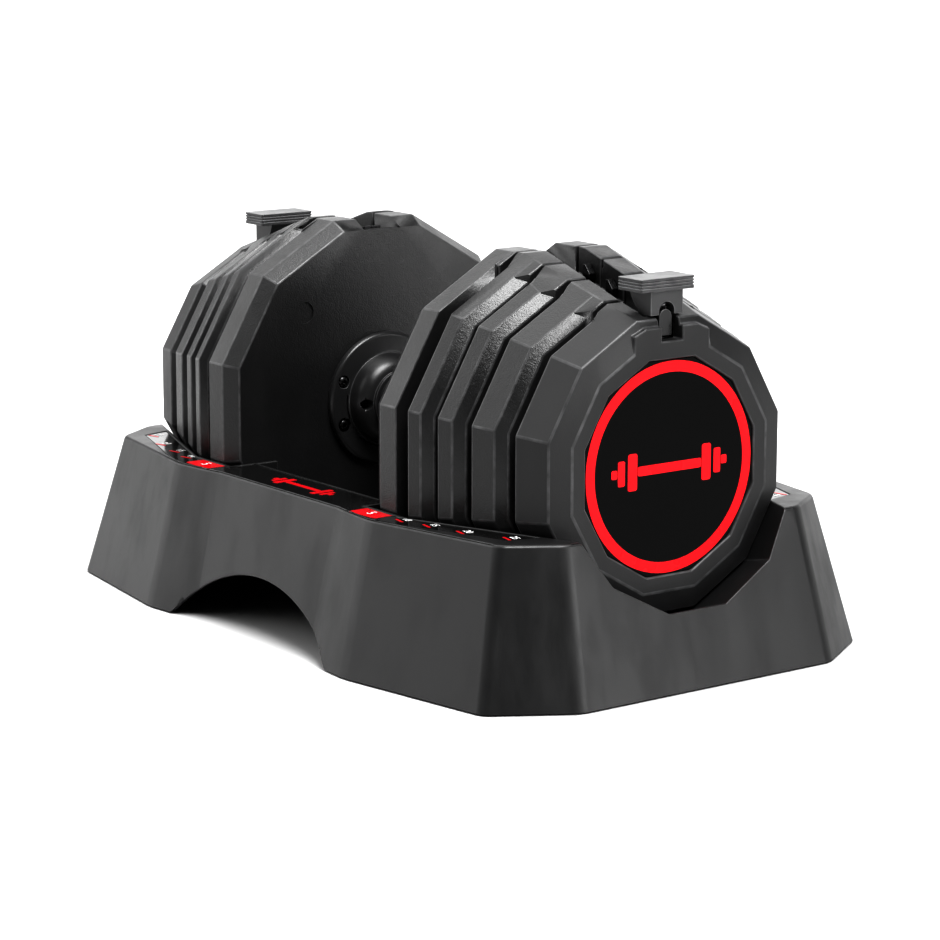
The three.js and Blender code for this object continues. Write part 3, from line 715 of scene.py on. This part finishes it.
def inner_plate():
    """The plate that belongs to the handle, with four shallow dimples towards the hand."""
    disc = bar([(70, 105), (79.4, BELL_RADIUS), (94, BELL_RADIUS)])
    thick = keep(block((90, 97), (-40, 40), (AXIS + 60, AXIS + 120)), bell_cone(90, 97))
    lip = block((65, 71.5), (-CHANNEL_HALF, CHANNEL_HALF), (214.8, 225))
    nut_pocket = rounds(86, 98, 17)
    body = cut(join(disc, thick), channel(65, 102), lip, rounds(69, 94, SHAFT_BORE), nut_pocket)
    for a in (math.radians(degrees) for degrees in (45, 135, 225, 315)):
        y, z = DIMPLE_CIRCLE * math.cos(a), AXIS + DIMPLE_CIRCLE * math.sin(a)
        body = cut(body, rounds(69, 71.0, DIMPLE_RADIUS, y, z, 48))
    return round_edges(body, 0.8, 3, above=24)


def outer_plate():
    """The last plate: a bevelled face with a badge recess, and a nose with a notch at its top."""
    disc = bar([(OUTER_IN - INNER_CHAMFER, bell_radius(OUTER_IN) - INNER_CHAMFER),
                (OUTER_IN, bell_radius(OUTER_IN)), (OUTER_OUT, bell_radius(OUTER_OUT)), (OUTER_FACE, 69.5)])
    foot = [(173, 36), (169, 30), (169, -30), (173, -36), (185, -36), (185, 36)]
    back_boss = keep(prism([(x, y, AXIS + 60) for x, y in foot], (0, 0, 60)), bell_cone(169, 185))
    face = [(26, 150), (26, 186.2), (17.8, 189.7), (-17.8, 189.7), (-26, 186.2), (-26, 150)]
    nose = keep(prism([(190, y, z) for y, z in face], (OUTER_FACE - 190, 0, 0)), bell_cone(189, 196))
    body = join(disc, back_boss, nose)
    recess = bar([(BADGE_FACE - BADGE_THICK - GAP, BADGE_RADIUS + GAP), (197, BADGE_RADIUS + GAP)])
    body = cut(body, recess, channel(164, CHANNEL_END), block((185, 197.5), (-7, 7), (182, 260)))
    return round_edges(body, 0.9, 3, above=14)


def badge():
    return round_edges(bar([(BADGE_FACE - BADGE_THICK, BADGE_RADIUS), (BADGE_FACE, BADGE_RADIUS)]), 0.35, 2)


def badge_print():
    """A red ring and a dumbbell sign, a print's thickness proud of the badge."""
    face, thick = BADGE_FACE, 0.15
    ring_out, ring_in = 57.3, 51.3
    ring = bmesh.new()
    loops = []
    for x, radius in ((face - 0.05, ring_out), (face + thick, ring_out),
                      (face + thick, ring_in), (face - 0.05, ring_in)):
        made = bmesh.ops.create_circle(ring, cap_ends=False, segments=160, radius=radius, matrix=across(x))
        loops.append(circle_edges(made["verts"]))
    for a, b in zip(loops, loops[1:] + loops[:1]):
        bmesh.ops.bridge_loops(ring, edges=a + b)
    quarter = math.radians(90)
    upright = Matrix.Rotation(quarter, 4, "Z") @ Matrix.Rotation(quarter, 4, "X")
    stand = Matrix.Translation((face + thick / 2, 0, AXIS)) @ upright
    return merged([ring, *dumbbell_sign(80, thick, stand)])


# ------------------------------------------------------------------ handle
def sleeve():
    """The palm-swelled rubber sleeve with a collar bead at each end."""
    half, collar, bead = GRIP_HALF, 16.2, 16.9
    profile = [(-half, SHAFT_BORE), (-half, collar), (-half + 0.6, bead), (-half + 5.0, bead),
               (-half + 5.6, collar), (-half + 6.4, collar)]
    steps = 14
    reach = half - 7
    for i in range(steps + 1):
        t = -1 + 2 * i / steps
        profile.append((t * reach, 16.6 + 1.0 * math.cos(t * math.pi / 2)))
    profile += [(-x, r) for x, r in profile[5::-1]]
    return lathe(profile, 96)


def screw_place(angle):
    a = math.radians(angle)
    return SCREW_CIRCLE * math.cos(a), AXIS + SCREW_CIRCLE * math.sin(a)


def flange_disc():
    """The flange with its rounded rim, its dome and the neck that meets the sleeve."""
    back, front, neck = 69.7, 65.7, 18.6
    profile = [(back, SHAFT_BORE), (back, 39.6), (back - 0.4, 40.0)]
    for i in range(7):
        a = math.radians(15 * i)
        profile.append((front + 2.4 - 2.4 * math.sin(a), 37.6 + 2.4 * math.cos(a)))
    profile += [(front, 29.2), (front - 0.5, 27.6)]
    for i in range(1, 13):
        a = math.radians(7.5 * i)
        profile.append((front - 0.5 - 12.2 * math.sin(a), neck + 8.6 * math.cos(a)))
    profile += [(51.0, neck), (51.0, SHAFT_BORE)]
    body = lathe(profile, 96)
    for angle in SCREW_ANGLES:
        y, z = screw_place(angle)
        body = cut(body, rounds(40, front + 1.9, 3.9, y, z, 32))
    for y in (-22, 22):
        body = cut(body, rounds(40, front - 1.5, 3.2, y, AXIS, 32))
    return round_edges(body, 0.25, 2, above=35)


def dome_screw(angle):
    y, z = screw_place(angle)
    seat, head, radius, stem = 67.3, 2.4, 3.3, 1.8
    profile = [(81, 0.02), (81, stem), (seat - 0.4, stem), (seat, stem + 0.2), (seat, radius - 0.2),
               (seat - 0.5, radius)]
    for i in range(1, 8):
        a = math.radians(90 * i / 7)
        profile.append((seat - 0.5 - (head - 0.5) * math.sin(a), max(radius * math.cos(a), 0.02)))
    body = lathe(profile, 40, z, y)
    return round_edges(cut(body, bar([(seat - 4, 1.45), (seat - 1.1, 1.45)], 6, 0, y, z)), 0.12, 2, above=40)


place("grip_sleeve", sleeve(), GRIP, "handle", ["handle_grip"], "grip_rubber")

# ------------------------------------------------------------------ selector
TAB_IN, TAB_OUT, TAB_HALF = 171.5, 191.5, 18.5
STEM_BOTTOM, STEM_OUT, STEM_HALF = 195.2, 190.5, 11


def round_topped(half, x0, x1, bottom, top):
    """A bar along X with a half-round top."""
    upright = block((x0, x1), (-half, half), (bottom, top - half))
    return join(upright, rounds(x0, x1, half, 0, top - half, 48))


def selector_tab():
    """The finger tab: a ribbed cap on a stem that sweeps back under it."""
    def plank(z0, z1, grow, corner):
        bm = block((TAB_IN - grow, TAB_OUT + grow), (-TAB_HALF - grow, TAB_HALF + grow), (z0, z1))
        bevelled(bm, [e for e in bm.edges if climb(e) > 0.1], corner, 4)
        return bm

    cap = plank(208, 215, 0, 1.4)
    round_edges(cap, 0.8, 3, above=60, wanted=lambda e: climb(e) < 0.1)
    for groove in (209.9, 211.5, 213.1):
        cap = cut(cap, cut(plank(groove, groove + 0.55, 3, 1.4), plank(groove - 1, groove + 2, -0.6, 1.0)))
    sweep = [(172.5, 209), (173.0, 206.6), (173.9, 204.2), (175.2, 201.9), (177.0, 199.7), (179.2, 197.8),
             (181.8, 196.2), (185, STEM_BOTTOM), (STEM_OUT, STEM_BOTTOM), (STEM_OUT, 209)]
    stem = prism([(x, -STEM_HALF, z) for x, z in sweep], (0, 2 * STEM_HALF, 0))
    floor_at = [top_line(x) - CHANNEL_DEPTH + 3.6 for x in (173, 182)]
    toe = prism([(173, -7, floor_at[0]), (182, -7, floor_at[1]), (182, -7, 204), (177, -7, 204)], (0, 14, 0))
    tongue_arch = round_topped(5.2, 183.4, STEM_OUT + 1, 150, 202)
    spring_pocket = round_topped(2.5, 184.2, 189.2, 195, 206.9)
    return round_edges(cut(join(cap, stem, toe), tongue_arch, spring_pocket), 0.3, 2, above=30)


def tongue():
    return round_edges(round_topped(4.3, 184, 189.5, 183.8, 198), 0.35, 2, above=40)


# ------------------------------------------------------------------ the two bells
def catch(plate, side):
    """The steel catch that stands in a plate's channel."""
    bm = at_right(from_node(f"{plate}_keeper_{side}", 0.3), side)
    place(f"{plate}_catch_{side}", bm, BOLT, f"{plate}_unit_{side}", [f"{plate}_keeper_{side}"],
          "steel", side)


def make_steel(node):
    """A part from the frame that keeps its shape and takes the steel finish."""
    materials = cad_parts[node].data.materials
    materials.clear()
    materials.append(STEEL)


for side in ("right", "left"):
    weight = f"outer_plate_unit_{side}"
    place(f"inner_plate_coated_{side}", inner_plate(), PLATE, "handle", [f"inner_plate_{side}"],
          "plate_coating", side)
    place(f"flange_{side}", flange_disc(), DARK, "handle", [f"grip_flange_{side}"], "dark_plastic", side)
    for number, angle in enumerate(SCREW_ANGLES, 1):
        place(f"dome_screw_{number}_{side}", dome_screw(angle), BOLT, "handle",
              [f"flange_screw_{number}_{side}"], "black_steel", side)
    for name, sizes in PLATES.items():
        place(f"{name}_coated_{side}", weight_plate(*sizes), PLATE, f"{name}_unit_{side}", [f"{name}_{side}"],
              "plate_coating", side)
        catch(name, side)
    place(f"outer_plate_coated_{side}", outer_plate(), OUTER, weight, [f"outer_plate_{side}"],
          "outer_coating", side)
    catch("outer_plate", side)
    place(f"badge_disc_{side}", badge(), GLASSY, weight, [f"badge_{side}"], "badge_gloss", side)
    place(f"badge_print_{side}", badge_print(), RED, weight, slot="badge_gloss", side=side, flat=True)
    place(f"rail_{side}", at_right(from_node(f"selector_rail_{side}", 0.4), side), BOLT, "handle",
          [f"selector_rail_{side}"], "steel", side)
    place(f"finger_tab_{side}", selector_tab(), TAB, f"selector_{side}", [f"selector_tab_{side}"],
          "dark_plastic", side)
    place(f"tongue_{side}", tongue(), DARK, f"tongue_{side}", [f"lock_tongue_{side}"], "dark_plastic", side)
    for node in (f"shaft_washer_{side}", f"shaft_nut_{side}", f"tongue_spring_{side}"):
        make_steel(node)
make_steel("handle_shaft")


# ------------------------------------------------------------------ floor, light and camera
def floor():
    bm = bmesh.new()
    bmesh.ops.create_circle(bm, cap_ends=True, segments=96, radius=30)
    mesh = bpy.data.meshes.new("floor")
    bm.to_mesh(mesh)
    bm.free()
    obj = bpy.data.objects.new("floor", mesh)
    bpy.context.scene.collection.objects.link(obj)
    f = Finish("floor_paint", 0.55, specular=0.25)
    f.colour(f.mixed(f.noise(3.0, 3.0), (0.44, 0.44, 0.44), (0.46, 0.46, 0.46)))
    mesh.materials.append(f.material)


def studio(base, lobes):
    """An even surround with soft bright areas: (direction, cosines where it starts and is full, strength)."""
    world = bpy.data.worlds.new("studio")
    world.use_nodes = True
    nodes, links = world.node_tree.nodes, world.node_tree.links
    way = nodes.new("ShaderNodeTexCoord").outputs["Generated"]
    total = None
    for direction, low, high, strength in lobes:
        dot = nodes.new("ShaderNodeVectorMath")
        dot.operation = "DOT_PRODUCT"
        dot.inputs[1].default_value = Vector(direction).normalized()
        links.new(way, dot.inputs[0])
        ramp = nodes.new("ShaderNodeMapRange")
        ramp.interpolation_type = "SMOOTHSTEP"
        for socket, number in zip(("From Min", "From Max", "To Min", "To Max"), (low, high, 0.0, strength)):
            ramp.inputs[socket].default_value = number
        links.new(dot.outputs["Value"], ramp.inputs["Value"])
        add = nodes.new("ShaderNodeMath")
        add.operation = "ADD"
        add.inputs[0].default_value = base
        links.new(ramp.outputs["Result"], add.inputs[1])
        if total:
            links.new(total, add.inputs[0])
        total = add.outputs["Value"]
    links.new(total, nodes["Background"].inputs["Strength"])
    nodes["Background"].inputs["Color"].default_value = (1, 1, 1, 1)
    return world


floor()
world = studio(0.05, [
    ((0.455, -0.04, 0.89), 0.93, 0.985, 27.0),
    ((-0.45, 0.0, 0.89), 0.80, 0.97, 3.2),
    ((-0.28, -0.76, 0.59), 0.88, 0.98, 2.6),
    ((0.90, 0.42, 0.12), 0.95, 0.995, 11.0),
    ((-0.60, 0.60, 0.50), 0.75, 0.97, 1.2),
    ((-0.80, 0.58, 0.16), 0.85, 0.98, 1.2),
    ((-0.14, 0.99, 0.05), 0.85, 0.98, 2.2),
    ((-0.82, -0.55, 0.12), 0.75, 0.97, 3.0),
])
bpy.context.scene.world = world
bpy.context.scene.view_settings.view_transform = "Standard"
bpy.context.scene.view_settings.gamma = 0.7

camera_data = bpy.data.cameras.new("camera")
camera = bpy.data.objects.new("camera", camera_data)
bpy.context.scene.collection.objects.link(camera)
azimuth, elevation, distance = math.radians(53.554), math.radians(10.816), 1.80487
back = Vector((math.sin(azimuth) * math.cos(elevation), -math.cos(azimuth) * math.cos(elevation),
               math.sin(elevation)))
camera.location = Vector((0, 0, 0.1)) + back * distance
camera.rotation_euler = (-back).to_track_quat("-Z", "Y").to_euler()
camera_data.lens, camera_data.sensor_width = 118.83, 36
camera_data.shift_x, camera_data.shift_y = 0.018767, -0.034797
camera_data.clip_start, camera_data.clip_end = 0.05, 80
bpy.context.scene.camera = camera
